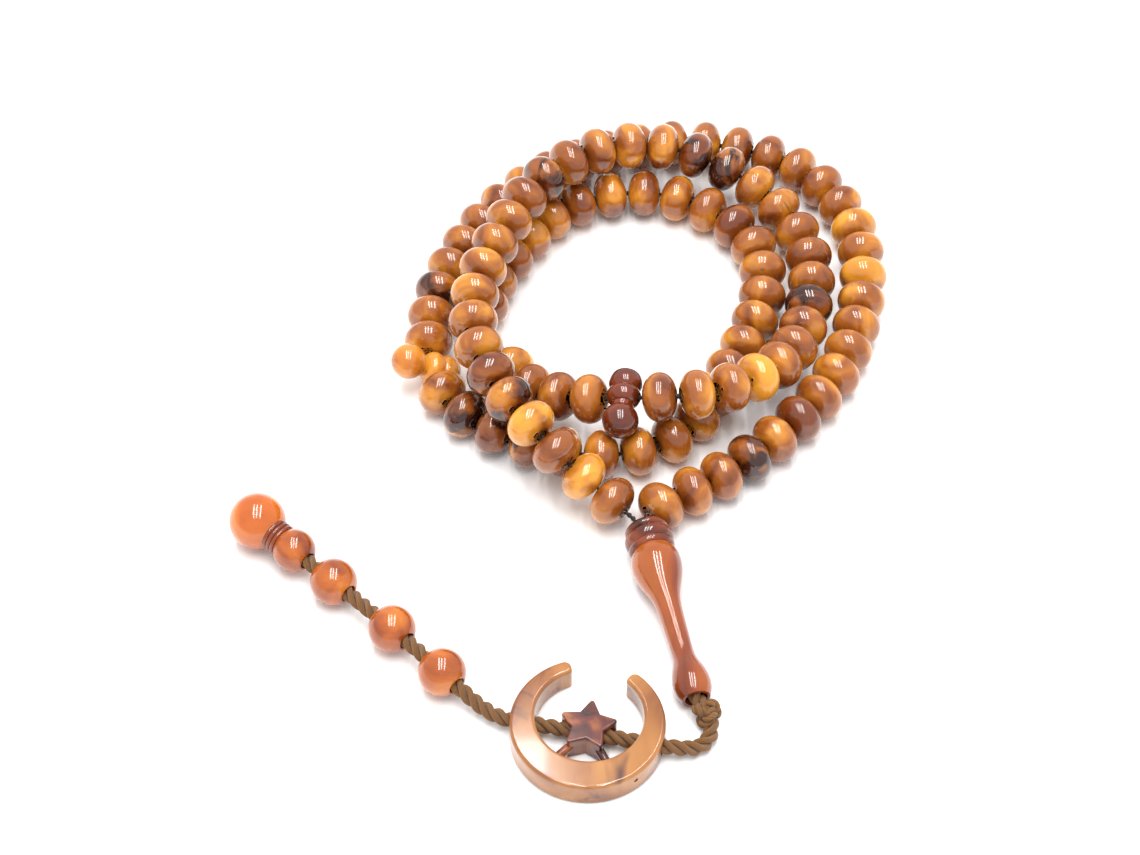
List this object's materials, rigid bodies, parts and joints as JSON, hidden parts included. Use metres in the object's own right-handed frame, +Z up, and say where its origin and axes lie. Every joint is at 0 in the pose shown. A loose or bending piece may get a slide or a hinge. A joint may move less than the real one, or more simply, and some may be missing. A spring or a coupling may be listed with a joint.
{
  "type": "prayer beads",
  "caption": "Laid string of oblate prayer beads in three rounds with two dividers, a turned leader, and a braided tail with a crescent and star charm and round end beads.",
  "frame": {"origin": "under the middle of the whole laid object, on the surface it lies on", "axes": "+Z up from the surface; +Y along the longest side of the laid object, from the tail charm towards the far side of the loop"},
  "size_m": [0.1321, 0.1726, 0.0205],
  "materials": {
    "marbled_resin": "polished marbled amber resin",
    "leader_resin": "polished reddish brown resin",
    "tail_resin": "polished orange brown resin",
    "crescent_resin": "polished tan resin with smoky streaks",
    "star_resin": "polished dark reddish brown resin",
    "bead_string": "waxed twisted thread",
    "tail_cord": "three-strand braided cord"
  },
  "bodies": {
    "string_and_tail": {"bead_string": "bead_string", "collar": "tail_resin", "end_ball": "tail_resin", "end_knot": "tail_cord", "round_2_beads_a": "marbled_resin", "round_2_beads_b": "marbled_resin", "round_2_beads_c": "marbled_resin", "round_2_beads_d": "marbled_resin", "round_3_beads_a": "marbled_resin", "round_3_beads_b": "marbled_resin", "round_3_beads_c": "marbled_resin", "string_knot": "bead_string", "tail_cord": "tail_cord", "tail_knot": "tail_cord"},
    "imame": {"imame_body": "leader_resin", "imame_head": "leader_resin"},
    "crescent": {"crescent": "crescent_resin", "star": "star_resin"},
    "divider_1": {"divider_1": "leader_resin"},
    "divider_2": {"divider_2": "leader_resin"},
    "neck_ball": {"neck_ball": "tail_resin"},
    "round_1_bead_01": {"round_1_bead_01": "marbled_resin"},
    "round_1_bead_02": {"round_1_bead_02": "marbled_resin"},
    "round_1_bead_03": {"round_1_bead_03": "marbled_resin"},
    "round_1_bead_04": {"round_1_bead_04": "marbled_resin"},
    "round_1_bead_05": {"round_1_bead_05": "marbled_resin"},
    "round_1_bead_06": {"round_1_bead_06": "marbled_resin"},
    "round_1_bead_07": {"round_1_bead_07": "marbled_resin"},
    "round_1_bead_08": {"round_1_bead_08": "marbled_resin"},
    "round_1_bead_09": {"round_1_bead_09": "marbled_resin"},
    "round_1_bead_10": {"round_1_bead_10": "marbled_resin"},
    "round_1_bead_11": {"round_1_bead_11": "marbled_resin"},
    "round_1_bead_12": {"round_1_bead_12": "marbled_resin"},
    "round_1_bead_13": {"round_1_bead_13": "marbled_resin"},
    "round_1_bead_14": {"round_1_bead_14": "marbled_resin"},
    "round_1_bead_15": {"round_1_bead_15": "marbled_resin"},
    "round_1_bead_16": {"round_1_bead_16": "marbled_resin"},
    "round_1_bead_17": {"round_1_bead_17": "marbled_resin"},
    "round_1_bead_18": {"round_1_bead_18": "marbled_resin"},
    "round_1_bead_19": {"round_1_bead_19": "marbled_resin"},
    "round_1_bead_20": {"round_1_bead_20": "marbled_resin"},
    "round_1_bead_21": {"round_1_bead_21": "marbled_resin"},
    "round_1_bead_22": {"round_1_bead_22": "marbled_resin"},
    "round_1_bead_23": {"round_1_bead_23": "marbled_resin"},
    "round_1_bead_24": {"round_1_bead_24": "marbled_resin"},
    "round_1_bead_25": {"round_1_bead_25": "marbled_resin"},
    "round_1_bead_26": {"round_1_bead_26": "marbled_resin"},
    "round_1_bead_27": {"round_1_bead_27": "marbled_resin"},
    "round_1_bead_28": {"round_1_bead_28": "marbled_resin"},
    "round_1_bead_29": {"round_1_bead_29": "marbled_resin"},
    "round_1_bead_30": {"round_1_bead_30": "marbled_resin"},
    "round_1_bead_31": {"round_1_bead_31": "marbled_resin"},
    "round_1_bead_32": {"round_1_bead_32": "marbled_resin"},
    "round_1_bead_33": {"round_1_bead_33": "marbled_resin"},
    "tail_bead_1": {"tail_bead_1": "tail_resin"},
    "tail_bead_2": {"tail_bead_2": "tail_resin"},
    "tail_bead_3": {"tail_bead_3": "tail_resin"}
  },
  "joints": [
    {"name": "bead_01_spin", "type": "hinge", "parent": "string_and_tail", "child": "round_1_bead_01", "pos_m": [0.00768, -0.02204, 0.00622], "axis": [-0.7399, 0.6321, 0.2303], "continuous": true},
    {"name": "bead_02_spin", "type": "hinge", "parent": "string_and_tail", "child": "round_1_bead_02", "pos_m": [0.00211, -0.01817, 0.00902], "axis": [-0.7599, 0.3805, 0.527], "continuous": true},
    {"name": "bead_03_spin", "type": "hinge", "parent": "string_and_tail", "child": "round_1_bead_03", "pos_m": [-0.00331, -0.01484, 0.01271], "axis": [-0.6873, 0.6032, 0.4047], "continuous": true},
    {"name": "bead_04_spin", "type": "hinge", "parent": "string_and_tail", "child": "round_1_bead_04", "pos_m": [-0.00811, -0.00965, 0.01475], "axis": [-0.6166, 0.7759, 0.1334], "continuous": true},
    {"name": "bead_05_spin", "type": "hinge", "parent": "string_and_tail", "child": "round_1_bead_05", "pos_m": [-0.01246, -0.00365, 0.01516], "axis": [-0.5448, 0.8384, 0.0172], "continuous": true},
    {"name": "bead_06_spin", "type": "hinge", "parent": "string_and_tail", "child": "round_1_bead_06", "pos_m": [-0.01605, 0.00286, 0.01526], "axis": [-0.4234, 0.9059, 0.0106], "continuous": true},
    {"name": "bead_07_spin", "type": "hinge", "parent": "string_and_tail", "child": "round_1_bead_07", "pos_m": [-0.01863, 0.00982, 0.01534], "axis": [-0.2704, 0.9627, 0.01], "continuous": true},
    {"name": "bead_08_spin", "type": "hinge", "parent": "string_and_tail", "child": "round_1_bead_08", "pos_m": [-0.01995, 0.01712, 0.01542], "axis": [-0.071, 0.9974, 0.0101], "continuous": true},
    {"name": "bead_09_spin", "type": "hinge", "parent": "string_and_tail", "child": "round_1_bead_09", "pos_m": [-0.01978, 0.02454, 0.01548], "axis": [0.1147, 0.9934, 0.0061], "continuous": true},
    {"name": "bead_10_spin", "type": "hinge", "parent": "string_and_tail", "child": "round_1_bead_10", "pos_m": [-0.01829, 0.03181, 0.0155], "axis": [0.2703, 0.9628, 0], "continuous": true},
    {"name": "bead_11_spin", "type": "hinge", "parent": "string_and_tail", "child": "round_1_bead_11", "pos_m": [-0.01597, 0.03888, 0.0155], "axis": [0.3531, 0.9356, 0], "continuous": true},
    {"name": "bead_12_spin", "type": "hinge", "parent": "string_and_tail", "child": "round_1_bead_12", "pos_m": [-0.0132, 0.04579, 0.0155], "axis": [0.3897, 0.921, 0], "continuous": true},
    {"name": "bead_13_spin", "type": "hinge", "parent": "string_and_tail", "child": "round_1_bead_13", "pos_m": [-0.01006, 0.05253, 0.01548], "axis": [0.4739, 0.8806, -0.0065], "continuous": true},
    {"name": "bead_14_spin", "type": "hinge", "parent": "string_and_tail", "child": "round_1_bead_14", "pos_m": [-0.00596, 0.05872, 0.01538], "axis": [0.62, 0.7843, -0.0225], "continuous": true},
    {"name": "bead_15_spin", "type": "hinge", "parent": "string_and_tail", "child": "round_1_bead_15", "pos_m": [-0.00077, 0.064, 0.0151], "axis": [0.7741, 0.6309, -0.0513], "continuous": true},
    {"name": "bead_16_spin", "type": "hinge", "parent": "string_and_tail", "child": "round_1_bead_16", "pos_m": [0.00537, 0.06812, 0.01457], "axis": [0.8792, 0.4663, -0.0979], "continuous": true},
    {"name": "bead_17_spin", "type": "hinge", "parent": "string_and_tail", "child": "round_1_bead_17", "pos_m": [0.01219, 0.07089, 0.01365], "axis": [0.9469, 0.2878, -0.1433], "continuous": true},
    {"name": "bead_18_spin", "type": "hinge", "parent": "string_and_tail", "child": "round_1_bead_18", "pos_m": [0.01938, 0.07185, 0.0124], "axis": [0.9805, -0.0341, -0.1937], "continuous": true},
    {"name": "bead_19_spin", "type": "hinge", "parent": "string_and_tail", "child": "round_1_bead_19", "pos_m": [0.02657, 0.07087, 0.01087], "axis": [0.9493, -0.2287, -0.2158], "continuous": true},
    {"name": "bead_20_spin", "type": "hinge", "parent": "string_and_tail", "child": "round_1_bead_20", "pos_m": [0.03334, 0.06835, 0.0092], "axis": [0.8657, -0.4435, -0.2321], "continuous": true},
    {"name": "bead_21_spin", "type": "hinge", "parent": "string_and_tail", "child": "round_1_bead_21", "pos_m": [0.03935, 0.06435, 0.00757], "axis": [0.74, -0.6417, -0.2014], "continuous": true},
    {"name": "bead_22_spin", "type": "hinge", "parent": "string_and_tail", "child": "round_1_bead_22", "pos_m": [0.04423, 0.05893, 0.00626], "axis": [0.5806, -0.7998, -0.1525], "continuous": true},
    {"name": "bead_23_spin", "type": "hinge", "parent": "string_and_tail", "child": "round_1_bead_23", "pos_m": [0.04783, 0.05252, 0.00543], "axis": [0.383, -0.9212, -0.0691], "continuous": true},
    {"name": "bead_24_spin", "type": "hinge", "parent": "string_and_tail", "child": "round_1_bead_24", "pos_m": [0.04991, 0.04542, 0.00513], "axis": [0.1553, -0.9878, -0.012], "continuous": true},
    {"name": "bead_25_spin", "type": "hinge", "parent": "string_and_tail", "child": "round_1_bead_25", "pos_m": [0.05005, 0.03803, 0.00524], "axis": [-0.0973, -0.9945, 0.0384], "continuous": true},
    {"name": "bead_26_spin", "type": "hinge", "parent": "string_and_tail", "child": "round_1_bead_26", "pos_m": [0.049, 0.03068, 0.00573], "axis": [-0.1862, -0.9778, 0.0965], "continuous": true},
    {"name": "bead_27_spin", "type": "hinge", "parent": "string_and_tail", "child": "round_1_bead_27", "pos_m": [0.04731, 0.0235, 0.00664], "axis": [-0.2744, -0.9499, 0.1495], "continuous": true},
    {"name": "bead_28_spin", "type": "hinge", "parent": "string_and_tail", "child": "round_1_bead_28", "pos_m": [0.04487, 0.0166, 0.00797], "axis": [-0.379, -0.9025, 0.2044], "continuous": true},
    {"name": "bead_29_spin", "type": "hinge", "parent": "string_and_tail", "child": "round_1_bead_29", "pos_m": [0.04135, 0.01033, 0.00974], "axis": [-0.5704, -0.775, 0.2722], "continuous": true},
    {"name": "bead_30_spin", "type": "hinge", "parent": "string_and_tail", "child": "round_1_bead_30", "pos_m": [0.03661, 0.00503, 0.01185], "axis": [-0.6978, -0.6577, 0.2838], "continuous": true},
    {"name": "bead_31_spin", "type": "hinge", "parent": "string_and_tail", "child": "round_1_bead_31", "pos_m": [0.03098, 0.00062, 0.01384], "axis": [-0.8117, -0.5284, 0.2488], "continuous": true},
    {"name": "bead_32_spin", "type": "hinge", "parent": "string_and_tail", "child": "round_1_bead_32", "pos_m": [0.02437, -0.00232, 0.01508], "axis": [-0.9716, -0.2285, 0.0621], "continuous": true},
    {"name": "bead_33_spin", "type": "hinge", "parent": "string_and_tail", "child": "round_1_bead_33", "pos_m": [0.01705, -0.00272, 0.01474], "axis": [-0.9884, 0.0793, -0.1292], "continuous": true},
    {"name": "imame_turn", "type": "hinge", "parent": "string_and_tail", "child": "imame", "pos_m": [0.0138, -0.027, 0.00538], "axis": [0.2165, -0.9751, -0.0486], "continuous": true},
    {"name": "crescent_turn", "type": "hinge", "parent": "string_and_tail", "child": "crescent", "pos_m": [0.00265, -0.07312, 0.0025], "axis": [-0.9799, 0.1994, 0], "continuous": true},
    {"name": "divider_1_swing", "type": "hinge", "parent": "string_and_tail", "child": "divider_1", "pos_m": [0.01004, -0.00184, 0.01343], "axis": [-0.9567, 0.167, -0.2382], "range_deg": [0, 90]},
    {"name": "divider_2_swing", "type": "hinge", "parent": "string_and_tail", "child": "divider_2", "pos_m": [-0.02874, 0.0138, 0.00516], "axis": [-0.1732, 0.9849, -0.0066], "range_deg": [-30, 60]},
    {"name": "tail_bead_1_slide", "type": "slide", "parent": "string_and_tail", "child": "tail_bead_1", "axis": [-0.6884, 0.7243, 0.0385], "range_m": [0, 0.0027]},
    {"name": "tail_bead_2_slide", "type": "slide", "parent": "string_and_tail", "child": "tail_bead_2", "axis": [-0.7134, 0.7006, -0.0124], "range_m": [-0.0027, 0.0036]},
    {"name": "tail_bead_3_slide", "type": "slide", "parent": "string_and_tail", "child": "tail_bead_3", "axis": [-0.7322, 0.681, 0.0013], "range_m": [-0.0036, 0.0014]},
    {"name": "neck_ball_slide", "type": "slide", "parent": "string_and_tail", "child": "neck_ball", "axis": [-0.7342, 0.678, 0.036], "range_m": [-0.0014, 0]}
  ]
}
